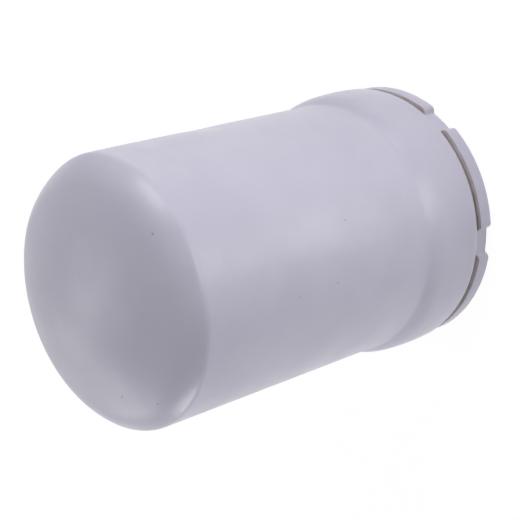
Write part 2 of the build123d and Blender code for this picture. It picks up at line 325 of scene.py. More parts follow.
class Bench:
    """A node tree with short calls for adding and joining nodes."""

    def __init__(self, tree: bpy.types.NodeTree) -> None:
        """Start on a tree that may already hold nodes."""
        self.tree = tree

    def add(self, kind: str, **settings: object) -> bpy.types.Node:
        """Add a node.

        Args:
            kind: the node's type name.
            settings: attributes set on the node.

        Returns:
            The node.
        """
        node = self.tree.nodes.new(kind)
        for name, value in settings.items():
            setattr(node, name, value)
        return node

    def join(self, source: Socket, target: Socket) -> None:
        """Link an output to an input."""
        self.tree.links.new(source, target)

    def math(self, operation: str, first: object, second: object = None) -> Socket:
        """Add a Math node.

        Args:
            operation: the node's operation.
            first: a socket or a number.
            second: a socket or a number, if the operation takes one.

        Returns:
            The node's output.
        """
        node = self.add("ShaderNodeMath", operation=operation)
        for place, value in enumerate((first, second)):
            if isinstance(value, Socket):
                self.join(value, node.inputs[place])
            elif value is not None:
                node.inputs[place].default_value = value
        return node.outputs[0]

    def ramp(self, value: Socket, low: float, high: float, top: float = 1.0) -> Socket:
        """Map a value from low..high onto 0..top, held at both ends.

        Args:
            value: the value to map.
            low: what becomes 0.
            high: what becomes top.
            top: the highest result.

        Returns:
            The mapped value.
        """
        node = self.add("ShaderNodeMapRange", interpolation_type="SMOOTHSTEP")
        self.join(value, node.inputs["Value"])
        node.inputs["From Min"].default_value = low
        node.inputs["From Max"].default_value = high
        node.inputs["To Max"].default_value = top
        return node.outputs["Result"]

    def noise(self, place: Socket, scale: Socket, detail: float, roughness: float = 0.5) -> Socket:
        """Add a Noise Texture.

        Args:
            place: the coordinates that it reads.
            scale: its scale.
            detail: its number of octaves.
            roughness: the weight of the finer octaves.

        Returns:
            Its value, about 0.5 on average.
        """
        node = self.add("ShaderNodeTexNoise")
        node.inputs["Detail"].default_value = detail
        node.inputs["Roughness"].default_value = roughness
        self.join(place, node.inputs["Vector"])
        self.join(scale, node.inputs["Scale"])
        return node.outputs["Fac"]

    def blend(self, mask: Socket, first: object, second: object) -> Socket:
        """Mix two colours by a mask.

        Args:
            mask: 0 gives the first colour and 1 the second.
            first: a socket or a colour.
            second: a socket or a colour.

        Returns:
            The mixed colour.
        """
        node = self.add("ShaderNodeMix", data_type="RGBA")
        self.join(mask, node.inputs["Factor"])
        for socket, value in ((node.inputs[6], first), (node.inputs[7], second)):
            if isinstance(value, Socket):
                self.join(value, socket)
            else:
                socket.default_value = (*value, 1.0)
        return node.outputs[2]


def new_group(name: str, inputs: dict[str, float], outputs: Sequence[str]) -> tuple[Bench, dict, dict]:
    """Start a shader node group that works on Object coordinates.

    Args:
        name: the group's name.
        inputs: its value inputs and their defaults.
        outputs: the names of its value outputs.

    Returns:
        The group's bench, its inner input sockets by name and its inner output sockets by name.
    """
    tree = bpy.data.node_groups.new(name, "ShaderNodeTree")
    tree.interface.new_socket(name="Vector", in_out="INPUT", socket_type="NodeSocketVector")
    for label, value in inputs.items():
        socket = tree.interface.new_socket(name=label, in_out="INPUT", socket_type="NodeSocketFloat")
        socket.default_value = value
    for label in outputs:
        tree.interface.new_socket(name=label, in_out="OUTPUT", socket_type="NodeSocketFloat")
    bench = Bench(tree)
    entry = bench.add("NodeGroupInput")
    leave = bench.add("NodeGroupOutput")
    return bench, dict(entry.outputs.items()), dict(leave.inputs.items())


@dataclass
class SurfaceEffects:
    """The effects that several finishes share, each a node group."""

    cloud_range: tuple[float, float] = (0.32, 0.68)
    grain_ratio: float = 3.4
    dot_softness: float = 0.02
    edge_range: tuple[float, float] = (0.53, 0.62)
    worn_range: tuple[float, float] = (0.42, 0.62)

    def __post_init__(self) -> None:
        """Build the four groups once."""
        self.mottle = self._mottle()
        self.peel = self._peel()
        self.specks = self._specks()
        self.wear = self._wear()

    def _mottle(self) -> bpy.types.NodeTree:
        """Build slow changes of tone, from 0 to 1, with finer cloud in them.

        Returns:
            The group's tree.
        """
        bench, entry, leave = new_group("mottle", {"Scale": 40.0}, ["Mask"])
        cloud = bench.noise(entry["Vector"], entry["Scale"], detail=4.0, roughness=0.55)
        bench.join(bench.ramp(cloud, *self.cloud_range), leave["Mask"])
        return bench.tree

    def _peel(self) -> bpy.types.NodeTree:
        """Build the height of sprayed paint: a soft ripple with a finer grain.

        Returns:
            The group's tree.
        """
        bench, entry, leave = new_group("peel", {"Scale": 900.0, "Grain": 0.3}, ["Height"])
        ripple = bench.noise(entry["Vector"], entry["Scale"], detail=1.0)
        finer = bench.math("MULTIPLY", entry["Scale"], self.grain_ratio)
        grain = bench.noise(entry["Vector"], finer, detail=2.0)
        fine = bench.math("MULTIPLY", grain, entry["Grain"])
        bench.join(bench.math("ADD", ripple, fine), leave["Height"])
        return bench.tree

    def _specks(self) -> bpy.types.NodeTree:
        """Build sparse small dots of dust and pits as a mask.

        Returns:
            The group's tree.
        """
        bench, entry, leave = new_group("specks", {"Scale": 150.0, "Size": 0.08, "Share": 0.1}, ["Mask"])
        cells = bench.add("ShaderNodeTexVoronoi")
        bench.join(entry["Vector"], cells.inputs["Vector"])
        bench.join(entry["Scale"], cells.inputs["Scale"])
        pick = bench.add("ShaderNodeSeparateColor")
        bench.join(cells.outputs["Color"], pick.inputs["Color"])
        chosen = bench.math("LESS_THAN", pick.outputs["Red"], entry["Share"])
        size = bench.math("MULTIPLY", pick.outputs["Green"], entry["Size"])
        near = bench.math("SUBTRACT", size, cells.outputs["Distance"])
        dot = bench.ramp(near, -self.dot_softness, self.dot_softness)
        bench.join(bench.math("MULTIPLY", dot, chosen), leave["Mask"])
        return bench.tree

    def _wear(self) -> bpy.types.NodeTree:
        """Build worn outer edges as a mask, broken up by noise.

        Returns:
            The group's tree.
        """
        bench, entry, leave = new_group("edge_wear", {"Scale": 300.0, "Amount": 0.5}, ["Mask"])
        shape = bench.add("ShaderNodeNewGeometry")
        edge = bench.ramp(shape.outputs["Pointiness"], *self.edge_range)
        cloud = bench.noise(entry["Vector"], entry["Scale"], detail=3.0)
        broken = bench.ramp(cloud, *self.worn_range)
        worn = bench.math("MULTIPLY", edge, broken)
        bench.join(bench.math("MULTIPLY", worn, entry["Amount"]), leave["Mask"])
        return bench.tree


@dataclass(frozen=True)
class Finish:
    """What every finish has: a name, a colour that varies, and how rough and metallic it is."""

    name: str
    color: Color
    tone: Color
    roughness: float
    rough_spread: float = 0.08
    metallic: float = 0.0
    mottle_scale: float = 45.0
    peel_scale: float = 700.0
    peel_height: float = 0.02
    grain: float = 0.3

    def start(self, effects: SurfaceEffects) -> tuple[bpy.types.Material, Bench, bpy.types.Node, dict]:
        """Build the material with its tone, roughness and grain.

        Args:
            effects: the shared node groups.

        Returns:
            The material, its bench, its shader and the sockets that a richer finish builds on.
        """
        material = bpy.data.materials.new(self.name)
        material.use_nodes = True
        bench = Bench(material.node_tree)
        shader = material.node_tree.nodes["Principled BSDF"]
        place = bench.add("ShaderNodeTexCoord").outputs["Object"]
        mottle = self.group(bench, effects.mottle, place, Scale=self.mottle_scale)["Mask"]
        color = bench.blend(mottle, self.color, self.tone)
        bench.join(color, shader.inputs["Base Color"])
        rough = bench.math("ADD", bench.math("MULTIPLY", mottle, self.rough_spread), self.roughness)
        bench.join(rough, shader.inputs["Roughness"])
        shader.inputs["Metallic"].default_value = self.metallic
        height = self.group(bench, effects.peel, place, Scale=self.peel_scale, Grain=self.grain)["Height"]
        bump = bench.add("ShaderNodeBump")
        bump.inputs["Strength"].default_value = 1.0
        bump.inputs["Distance"].default_value = self.peel_height * MM
        bench.join(height, bump.inputs["Height"])
        bench.join(bump.outputs["Normal"], shader.inputs["Normal"])
        return material, bench, shader, {"place": place, "color": color, "height": height, "bump": bump}

    @staticmethod
    def group(bench: Bench, tree: bpy.types.NodeTree, place: Socket, **values: float) -> dict:
        """Place a shared effect in a material.

        Args:
            bench: the material's bench.
            tree: the effect's group.
            place: the coordinates that it reads.
            values: its own values by input name.

        Returns:
            The effect's outputs by name.
        """
        node = bench.add("ShaderNodeGroup", node_tree=tree)
        bench.join(place, node.inputs["Vector"])
        for label, value in values.items():
            node.inputs[label].default_value = value
        return dict(node.outputs.items())

    def build(self, effects: SurfaceEffects) -> bpy.types.Material:
        """Return the finished material."""
        return self.start(effects)[0]


@dataclass(frozen=True)
class Nick:
    """A small knock in the paint, where it lies on the filter in millimetres."""

    place: tuple[float, float, float]
    size: float
    depth: float
    softness: float = 0.35


@dataclass(frozen=True)
class SatinPaint(Finish):
    """Sprayed satin paint with dust in it, a few nicks, wear on its edges and painted shade in any groove."""

    speck_color: Color = (0.16, 0.15, 0.17)
    speck_scale: float = 190.0
    speck_size: float = 0.085
    speck_share: float = 0.05
    speck_strength: float = 0.55
    pit_depth: float = 1.6
    wear_color: Color = (0.34, 0.33, 0.36)
    wear: float = 0.25
    nicks: tuple[Nick, ...] = ()
    groove: tuple[float, float] | None = None
    # The groove's colour is the paint darkened as painted shade; its tone is tan sealant stain.
    groove_shaded_color: Color = (0.56, 0.54, 0.60)
    groove_tone: Color = (0.42, 0.36, 0.34)
    groove_fade: tuple[float, float, float] = (0.12, 0.02, 0.4)
    stain_scale: float = 70.0
    # Over the crevice's radii, painted shade darkens the groove towards the deep side, by the amount below.
    crevice: tuple[float, float] = (54.6, 55.5)
    crevice_painted_shade: float = 0.5
    # One dark colour serves the crumbs of dirt and the painted shade in the crevice.
    crumb_and_shade_color: Color = (0.20, 0.17, 0.17)
    crumb_scale: float = 560.0
    crumb_size: float = 0.34
    crumb_share: float = 0.5
    crumb_strength: float = 0.7

    def build(self, effects: SurfaceEffects) -> bpy.types.Material:
        """Build the painted material with its marks.

        Args:
            effects: the shared node groups.

        Returns:
            The material.
        """
        material, bench, shader, sockets = self.start(effects)
        place = sockets["place"]
        specks = self.group(
            bench, effects.specks, place, Scale=self.speck_scale, Size=self.speck_size, Share=self.speck_share
        )["Mask"]
        marks = bench.math("MULTIPLY", specks, self.speck_strength)
        for nick in self.nicks:
            marks = bench.math("MAXIMUM", marks, self._nick(bench, place, nick))
        color = bench.blend(marks, sockets["color"], self.speck_color)
        worn = self.group(bench, effects.wear, place, Amount=self.wear)["Mask"]
        color = bench.blend(worn, color, self.wear_color)
        # The groove gets painted shade along with sealant stains and crumbs.
        if self.groove:
            color = self._residue_and_shade(bench, effects, place, color)
        bench.join(color, shader.inputs["Base Color"])
        pitted = bench.math("SUBTRACT", sockets["height"], bench.math("MULTIPLY", marks, self.pit_depth))
        bench.join(pitted, sockets["bump"].inputs["Height"])
        return material

    @staticmethod
    def _nick(bench: Bench, place: Socket, nick: Nick) -> Socket:
        """Mask one nick, round a point on the filter.

        Args:
            bench: the material's bench.
            place: the Object coordinates.
            nick: the nick.

        Returns:
            The mask, up to the nick's depth.
        """
        span = bench.add("ShaderNodeVectorMath", operation="DISTANCE")
        bench.join(place, span.inputs[0])
        span.inputs[1].default_value = tuple(value * MM for value in nick.place)
        near = bench.math("SUBTRACT", nick.size * MM, span.outputs["Value"])
        soft = nick.softness * nick.size * MM
        return bench.ramp(near, -soft, soft, nick.depth)

    def _residue_and_shade(self, bench: Bench, effects: SurfaceEffects, place: Socket, color: Socket) -> Socket:
        """Lay the groove behind the lugs over the colour: the paint darkened as painted shade, tan sealant
        stains, crumbs of dirt and painted shade deepening into the crevice.

        Args:
            bench: the material's bench.
            effects: the shared node groups.
            place: the Object coordinates.
            color: the paint's colour.

        Returns:
            The colour with the groove in it.
        """
        height = bench.add("ShaderNodeSeparateXYZ")
        bench.join(place, height.inputs["Vector"])
        low, high = self.groove
        under, over, fade = self.groove_fade
        above = bench.ramp(height.outputs["Z"], (low - under) * MM, (low + over) * MM)
        below = bench.ramp(height.outputs["Z"], (high + fade) * MM, high * MM)
        inside = bench.math("MULTIPLY", above, below)
        stains = self.group(bench, effects.mottle, place, Scale=self.stain_scale)["Mask"]
        # Painted shade: the groove's darkened paint, stained with tan sealant.
        shaded_groove = bench.blend(stains, self.groove_shaded_color, self.groove_tone)
        crumbs = self.group(
            bench, effects.specks, place, Scale=self.crumb_scale, Size=self.crumb_size, Share=self.crumb_share
        )["Mask"]
        flat = bench.add("ShaderNodeVectorMath", operation="MULTIPLY")
        bench.join(place, flat.inputs[0])
        flat.inputs[1].default_value = (1.0, 1.0, 0.0)
        radius = bench.add("ShaderNodeVectorMath", operation="LENGTH")
        bench.join(flat.outputs["Vector"], radius.inputs[0])
        deep, open_edge = self.crevice
        # Painted shade: darker towards the deep side of the crevice.
        shade = bench.ramp(radius.outputs["Value"], open_edge * MM, deep * MM, self.crevice_painted_shade)
        # Crumbs of dirt and the painted shade share one dark colour.
        dark = bench.math("MAXIMUM", bench.math("MULTIPLY", crumbs, self.crumb_strength), shade)
        shaded_groove = bench.blend(dark, shaded_groove, self.crumb_and_shade_color)
        return bench.blend(inside, color, shaded_groove)


@dataclass(frozen=True)
class WornMetal(Finish):
    """Plain metal sheet, wire or bar with brighter rubbed edges."""

    bright: Color = (0.80, 0.79, 0.76)
    wear: float = 0.7

    def build(self, effects: SurfaceEffects) -> bpy.types.Material:
        """Build the metal with its rubbed edges.

        Args:
            effects: the shared node groups.

        Returns:
            The material.
        """
        material, bench, shader, sockets = self.start(effects)
        worn = self.group(bench, effects.wear, sockets["place"], Amount=self.wear)["Mask"]
        bench.join(bench.blend(worn, sockets["color"], self.bright), shader.inputs["Base Color"])
        return material


@dataclass(frozen=True)
class FilterPaper(Finish):
    """Resin-treated paper with fine fibres and a slight sheen."""

    fibre_scale: float = 2600.0
    fibre_grain: float = 0.8
    fibre_range: tuple[float, float] = (0.55, 1.25)
    fibre_shade: float = 0.35
    fibre_dark: float = 0.72

    def build(self, effects: SurfaceEffects) -> bpy.types.Material:
        """Build the paper with its fibres.

        Args:
            effects: the shared node groups.

        Returns:
            The material.
        """
        material, bench, shader, sockets = self.start(effects)
        fibre = self.group(
            bench, effects.peel, sockets["place"], Scale=self.fibre_scale, Grain=self.fibre_grain
        )["Height"]
        shade = bench.ramp(fibre, *self.fibre_range, self.fibre_shade)
        dark = tuple(self.fibre_dark * channel for channel in self.tone)
        bench.join(bench.blend(shade, sockets["color"], dark), shader.inputs["Base Color"])
        return material


class FinishName(Enum):
    """The finishes of the filter's own pieces."""

    CAN = "can_paint"
    COLLAR = "collar_paint"
    SEALANT = "sealant"
    RUBBER = "black_rubber"
    ZINC = "zinc_sheet"
    TUBE = "tube_steel"
    POTTING = "potting"
    PAPER = "paper"
    VALVE = "valve_steel"
    SPRING = "spring_steel"


PAINT_COLOR: Color = (0.600, 0.575, 0.700)
PAINT_TONE: Color = (0.570, 0.550, 0.672)

CAN_NICKS = (
    Nick((32.8, 33.1, 166.3), 0.50, 0.45),
    Nick((18.9, -32.8, 170.5), 0.55, 0.50),
    Nick((34.4, -31.7, 166.2), 0.45, 0.40),
    Nick((48.1, 24.5, 83.1), 0.45, 0.40),
    Nick((53.9, 2.0, 113.1), 0.40, 0.35),
    Nick((53.9, 2.6, 92.3), 0.40, 0.35),
    Nick((45.9, 34.1, 37.7), 0.45, 0.40),
)


@dataclass
class FinishShelf:
    """Every finish of the filter, each built once."""

    effects: SurfaceEffects
    made: dict[FinishName, bpy.types.Material] = field(default_factory=dict)

    def stock(self) -> None:
        """Build all the materials."""
        finishes = (
            SatinPaint(
                "can_paint", PAINT_COLOR, PAINT_TONE, roughness=0.29, peel_height=0.016, nicks=CAN_NICKS,
            ),
            SatinPaint(
                "collar_paint", PAINT_COLOR, PAINT_TONE, roughness=0.32, peel_height=0.014, wear=0.3,
                # Between these heights the collar gets painted shade behind the lugs, with sealant stains.
                groove=(6.4, 11.0),
            ),
            Finish(
                "sealant", (0.66, 0.52, 0.47), (0.46, 0.36, 0.32), roughness=0.62, mottle_scale=120.0,
                peel_scale=500.0, peel_height=0.12,
            ),
            Finish(
                "black_rubber", (0.022, 0.022, 0.023), (0.035, 0.034, 0.033), roughness=0.50,
                peel_scale=1500.0, peel_height=0.01,
            ),
            WornMetal(
                "zinc_sheet", (0.60, 0.60, 0.58), (0.50, 0.50, 0.49), roughness=0.34, metallic=1.0,
                rough_spread=0.14, peel_height=0.006,
            ),
            WornMetal(
                "tube_steel", (0.52, 0.52, 0.52), (0.42, 0.42, 0.43), roughness=0.38, metallic=1.0,
                rough_spread=0.12, peel_height=0.006,
            ),
            Finish(
                "potting", (0.55, 0.42, 0.22), (0.46, 0.33, 0.15), roughness=0.36, peel_scale=260.0,
                peel_height=0.05,
            ),
            FilterPaper(
                "paper", (0.76, 0.64, 0.40), (0.68, 0.55, 0.31), roughness=0.80, peel_scale=1200.0,
                peel_height=0.04, grain=0.8,
            ),
            WornMetal(
                "valve_steel", (0.58, 0.55, 0.47), (0.50, 0.47, 0.40), roughness=0.28, metallic=1.0,
                peel_height=0.004,
            ),
            WornMetal(
                "spring_steel", (0.26, 0.26, 0.28), (0.18, 0.18, 0.20), roughness=0.36, metallic=1.0,
                peel_height=0.006,
            ),
        )
        for finish in finishes:
            self.made[FinishName(finish.name)] = finish.build(self.effects)

    def dress(self, piece: bpy.types.Object, name: FinishName) -> None:
        """Give an object one finish in its first slot and no other.

        Args:
            piece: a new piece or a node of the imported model.
            name: the finish.
        """
        if not piece.material_slots:
            piece.data.materials.append(self.made[name])
        for slot in piece.material_slots:
            slot.link = "OBJECT"
            slot.material = self.made[name]


@dataclass(frozen=True)
class Dent:
    """A shallow dent in the can: its middle, the wall's lean there, its depth and its reach.

    The turn is in degrees round the axis from X, and the lean is the outward normal's angle above level.
    """

    turn: float
    radius: float
    height: float
    lean: float
    depth: float
    reach: float


CAN_DENTS = (
    Dent(132.0, 53.3, 160.5, 24.0, 0.90, 30.0),
    Dent(102.0, 54.0, 101.0, 0.0, 0.40, 14.0),
)


@dataclass(frozen=True)
class CanSpans:
    """How many spans each stretch of the can's outline has, from the rim up."""

    rim: int = 6
    lip: int = 3
    band: int = 5
    ridge: int = 7
    shoulder: int = 14
    start: int = 8
    body: int = 24
    crease: int = 8
    knuckle: int = 20
    crown: int = 18


@dataclass
class CanShell:
    """The deep-drawn can: lip, mouth band, shoulder, straight body, crease and dome."""

    wall: float = 1.2
    body_radius: float = 54.0
    lip_radius: float = 56.6
    lip_height: float = 9.7
    rim_round: float = 0.55
    rim_lift: float = 0.1
    rim_turns: tuple[float, float] = (-140.0, -25.0)
    bend_radius: float = 57.2
    bend_height: float = 11.4
    band_radius: float = 57.5
    band_height: float = 19.7
    ridge_radius: float = 57.1
    ridge_height: float = 29.0
    shoulder_height: float = 38.0
    band_bulge: float = 0.05
    ridge_bulge: float = 0.07
    shoulder_bulge: float = 0.7
    shoulder_run: float = 6.0
    shoulder_softness: float = 0.5
    shoulder_rounds: int = 4
    shoulder_overlap: int = 3
    crease_height: float = 158.9
    crease_round: float = 5.0
    crease_run: float = 0.6
    knuckle_radius: float = 22.5
    crown_radius: float = 110.0
    tip_height: float = 177.0
    dents: tuple[Dent, ...] = CAN_DENTS
    spans: CanSpans = CanSpans()
    steps: int = 240

    def outer_side(self) -> list[Point2]:
        """Draw the can's outer side.

        Returns:
            Its outline, from the lip to the tip of the dome.
        """
        crown = (0.0, self.tip_height - self.crown_radius)
        knuckle = self._knuckle_centre(crown)
        turn = math.atan2(knuckle[1] - crown[1], knuckle[0])
        reach = self.knuckle_radius - self.crease_round
        middle = self.body_radius - self.crease_round
        rise = math.sqrt(reach**2 - (middle - knuckle[0]) ** 2)
        crease = (middle, knuckle[1] + rise)
        lean = math.atan2(rise, middle - knuckle[0])
        bend = (self.bend_radius, self.bend_height)
        widest = (self.band_radius, self.band_height)
        ridge = (self.ridge_radius, self.ridge_height)
        foot = (self.body_radius, self.shoulder_height)
        settled = (self.body_radius, self.shoulder_height + self.shoulder_run)
        lip = stretch((self.lip_radius, self.lip_height), bend, self.spans.lip)
        band = bulge(bend, widest, self.band_bulge, self.spans.band)
        swell = bulge(widest, ridge, self.ridge_bulge, self.spans.ridge)
        shoulder = bulge(ridge, foot, self.shoulder_bulge, self.spans.shoulder)
        start = stretch(foot, settled, self.spans.start)
        shoulder = [*swell[-self.shoulder_overlap : -1], *shoulder, *start[1:]]
        shoulder = round_corners(shoulder, self.shoulder_softness, self.shoulder_rounds)
        body = stretch(settled, (self.body_radius, crease[1] - self.crease_run), self.spans.body)
        edge = arc(crease, self.crease_round, 0.0, lean, self.spans.crease)
        knee = arc(knuckle, self.knuckle_radius, lean, turn, self.spans.knuckle)
        top = arc(crown, self.crown_radius, turn, math.pi / 2.0, self.spans.crown)
        top[-1] = (0.0, top[-1][1])
        mouth = [*lip[:-1], *band[:-1], *swell[: -self.shoulder_overlap]]
        return [*mouth, *shoulder, *body[1:], *edge, *knee[1:], *top[1:]]

    def _knuckle_centre(self, crown: Point2) -> Point2:
        """Return the centre of the knuckle's arc, which passes the crease and runs into the crown.

        Args:
            crown: the centre of the crown's arc.

        Returns:
            The centre, as radius and height.
        """
        corner = Vector((self.body_radius, self.crease_height))
        base = Vector(crown)
        span = (corner - base).length
        reach = self.crown_radius - self.knuckle_radius
        along = (reach**2 - self.knuckle_radius**2 + span**2) / (2.0 * span)
        way = (corner - base) / span
        side = Vector((-way.y, way.x)) * math.sqrt(reach**2 - along**2)
        centre = base + way * along + side
        return centre.x, centre.y

    def build(self, shelf: FinishShelf) -> bpy.types.Object:
        """Spin both sides of the wall and dress the can.

        Args:
            shelf: the finishes.

        Returns:
            The can.
        """
        outer = self.outer_side()
        inner = inset(outer, self.wall)
        middle = (self.lip_radius - self.wall / 2.0, self.lip_height + self.rim_lift)
        rim = arc(middle, self.rim_round, *map(math.radians, self.rim_turns), self.spans.rim)
        outline = [*rim, *outer[1:], *reversed(inner[1:]), rim[0]]
        piece = spin_outline("can_shell", outline, self.steps)
        for dent in self.dents:
            self._press(piece, dent)
        settle(piece, BODY, Shade.CREASED)
        shelf.dress(piece, FinishName.CAN)
        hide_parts("can")
        return piece

    @staticmethod
    def _press(piece: bpy.types.Object, dent: Dent) -> None:
        """Press a shallow dent into the wall with proportional editing.

        Args:
            piece: the can.
            dent: the dent.
        """
        spot = (direction(dent.turn, 0.0) * dent.radius + Vector((0.0, 0.0, dent.height))) * MM
        out = direction(dent.turn, dent.lean)
        edit_all(piece)
        nearest = min((vertex.co - spot).length for vertex in bmesh.from_edit_mesh(piece.data).verts)
        select_elements(piece, "VERT", lambda vertex: (vertex.co - spot).length < nearest + CLOSE)
        bpy.ops.transform.translate(
            value=out * -dent.depth * MM,
            use_proportional_edit=True,
            proportional_edit_falloff="SMOOTH",
            proportional_size=dent.reach * MM,
        )
        bpy.ops.object.mode_set(mode="OBJECT")


@dataclass
class ThreadCollar:
    """The castellated ring in the mouth, with the thread in its bore."""

    thread_radius: float = 46.0
    seal_seat_radius: float = 50.6
    seal_seat_depth: float = 4.6
    ring_radius: float = 54.1
    lug_radius: float = 56.5
    lug_height: float = 6.4
    lug_count: int = 6
    flange_radius: float = 55.75
    flange_start: float = 11.6
    height: float = 29.0
    groove_radius: float = 52.95
    groove_height: float = 21.0
    groove_width: float = 3.8
    steps_per_lug: int = 32
    notch_steps: int = 6
    notch_flare: float = 0.9
    flare_steps: int = 4
    lug_corner: float = 1.45
    notch_fillet: float = 0.95
    edge: float = 0.3
    sharp: float = 40.0
    corner_segments: int = 5
    edge_segments: int = 2
    slack: float = 0.2
    wall_slope: float = 0.1
    height_slack: float = 0.1
    column_reach: float = 0.125
    pitch: float = 2.5
    thread_depth: float = 1.35
    thread_seating: float = 0.05
    thread_flanks: tuple[float, float, float] = (0.40, 0.53, 0.93)
    thread_start: float = 6.0
    thread_turns: int = 8
    thread_steps: int = 96

    @property
    def steps(self) -> int:
        """Return the number of spans round the ring."""
        return self.lug_count * self.steps_per_lug

    def outline(self) -> list[Point2]:
        """Draw the ring's section without its lugs.

        Returns:
            The closed outline.
        """
        low = self.groove_height - self.groove_width / 2.0
        high = self.groove_height + self.groove_width / 2.0
        return [
            (self.thread_radius, self.seal_seat_depth),
            (self.seal_seat_radius, self.seal_seat_depth),
            (self.seal_seat_radius, 0.0),
            (self.ring_radius, 0.0),
            (self.ring_radius, self.lug_height),
            (self.ring_radius, self.flange_start),
            (self.flange_radius, self.flange_start),
            (self.flange_radius, low),
            (self.groove_radius, low),
            (self.groove_radius, high),
            (self.flange_radius, high),
            (self.flange_radius, self.height),
            (self.thread_radius, self.height),
            (self.thread_radius, self.seal_seat_depth),
        ]

    def in_lug(self, x: float, y: float) -> bool:
        """Test whether a point's angle round the axis lies in a lug and not in a notch.

        Args:
            x: the point's first coordinate.
            y: its second.

        Returns:
            True in a lug.
        """
        period = 2.0 * math.pi / self.lug_count
        half_notch = period * self.notch_steps / self.steps_per_lug / 2.0
        turn = math.atan2(y, x) % period
        return half_notch < turn < period - half_notch

    def build(self, shelf: FinishShelf) -> list[bpy.types.Object]:
        """Model the ring and its thread.

        Args:
            shelf: the finishes.

        Returns:
            The ring and the thread.
        """
        ring = spin_outline("collar_ring_body", self.outline(), self.steps)
        ring.name = "thread_collar_ring"
        edit_all(ring)
        top = self.lug_height * MM
        base = (self.ring_radius - self.slack) * MM
        select_elements(
            ring,
            "FACE",
            lambda face: face.normal.z**2 < self.wall_slope
            and face.calc_center_median().xy.length > base
            and face.calc_center_median().z < top
            and self.in_lug(*face.calc_center_median().xy),
        )
        bpy.ops.mesh.extrude_region_move()
        grow = self.lug_radius / self.ring_radius
        bpy.ops.transform.resize(value=(grow, grow, 1.0), center_override=ORIGIN)
        limit = (self.ring_radius + self.lug_radius) / 2.0 * MM
        self._flare(ring, limit)
        for low, high, width in (
            (limit, math.inf, self.lug_corner),
            (base, limit, self.notch_fillet),
        ):
            select_elements(
                ring,
                "EDGE",
                lambda edge: abs(edge.verts[0].co.z - edge.verts[1].co.z) > (1.0 - self.height_slack) * top
                and max(vert.co.z for vert in edge.verts) < (1.0 + self.height_slack) * top
                and low < edge.verts[0].co.xy.length < high
                and edge.calc_face_angle(0.0) > math.radians(self.sharp),
            )
            bpy.ops.mesh.bevel(offset=width * MM, segments=self.corner_segments, affect="EDGES")
        bpy.ops.object.mode_set(mode="OBJECT")
        bevel_edges(ring, self.edge, self.edge_segments, self.sharp)
        settle(ring, BODY, Shade.CREASED)
        shelf.dress(ring, FinishName.COLLAR)
        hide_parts("thread_collar")
        return [ring, self._thread(shelf)]

    def _flare(self, ring: bpy.types.Object, limit: float) -> None:
        """Lean the ends of the lugs back, so that the notches open outwards.

        Args:
            ring: the ring in edit mode, with its lugs drawn out.
            limit: points farther than this from the axis, in metres, are on the lugs' outer side.
        """
        period = 2.0 * math.pi / self.lug_count
        step = period / self.steps_per_lug
        half_notch = step * self.notch_steps / 2.0
        lean = self.notch_flare / self.lug_radius
        for column in range(self.flare_steps):
            share = 1.0 - column / self.flare_steps
            for side in (-1.0, 1.0):
                turn = side * (half_notch + column * step)
                select_elements(
                    ring,
                    "VERT",
                    lambda vert: vert.co.xy.length > limit
                    and abs((math.atan2(vert.co.y, vert.co.x) - turn + period / 2.0) % period - period / 2.0)
                    < step * self.column_reach,
                )
                bpy.ops.transform.rotate(value=-side * lean * share, orient_axis="Z", center_override=ORIGIN)

    def _thread(self, shelf: FinishShelf) -> bpy.types.Object:
        """Wind the ridge of the thread round the bore.

        Args:
            shelf: the finishes.

        Returns:
            The thread.
        """
        root = self.thread_radius + self.thread_seating
        crest = self.thread_radius - self.thread_depth
        rise, top, fall = (self.thread_start + share * self.pitch for share in self.thread_flanks)
        start = (root, self.thread_start)
        section = [start, (crest, rise), (crest, top), (root, fall), start]
        piece = draw_outline("collar_thread", section)
        steps = self.thread_steps * self.thread_turns
        turns = 2.0 * math.pi * self.thread_turns
        bpy.ops.mesh.spin(steps=steps, angle=turns, center=ORIGIN, axis=UP)
        bpy.ops.object.mode_set(mode="OBJECT")
        count = len(section)
        for place, vertex in enumerate(piece.data.vertices):
            vertex.co.z += self.pitch * MM * self.thread_turns * (place // count) / steps
        edit_all(piece)
        bpy.ops.mesh.remove_doubles(threshold=MERGE)
        bpy.ops.mesh.select_all(action="DESELECT")
        bpy.ops.mesh.select_mode(type="EDGE")
        bpy.ops.mesh.select_non_manifold()
        bpy.ops.mesh.edge_face_add()
        bpy.ops.mesh.select_all(action="SELECT")
        bpy.ops.mesh.normals_make_consistent(inside=False)
        bpy.ops.object.mode_set(mode="OBJECT")
        settle(piece, BODY, Shade.CREASED)
        shelf.dress(piece, FinishName.COLLAR)
        return piece


@dataclass
class LipSealant:
    """The bead of compound between the can's lip and the collar."""

    low: float = 6.5
    lip_height: float = 9.7
    high: float = 11.5
    inner_radius: float = 54.12
    outer_radius: float = 55.3
    rise: float = 0.4
    slope_spans: int = 6
    unevenness: float = 0.07
    steps: int = 240
    seed: int = 7

    def build(self, shelf: FinishShelf) -> bpy.types.Object:
        """Spin the bead and make it a little uneven.

        Args:
            shelf: the finishes.

        Returns:
            The bead.
        """
        start = (self.inner_radius, self.low)
        slope = bulge(start, (self.outer_radius, self.lip_height), self.rise, self.slope_spans)
        outline = [*slope, (self.outer_radius, self.high), (self.inner_radius, self.high), start]
        piece = spin_outline("sealant_bead", outline, self.steps)
        edit_all(piece)
        bpy.ops.transform.vertex_random(offset=self.unevenness * MM, uniform=1.0, seed=self.seed)
        bpy.ops.object.mode_set(mode="OBJECT")
        settle(piece, BODY, Shade.SMOOTH)
        shelf.dress(piece, FinishName.SEALANT)
        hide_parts("lip_sealant")
        return piece


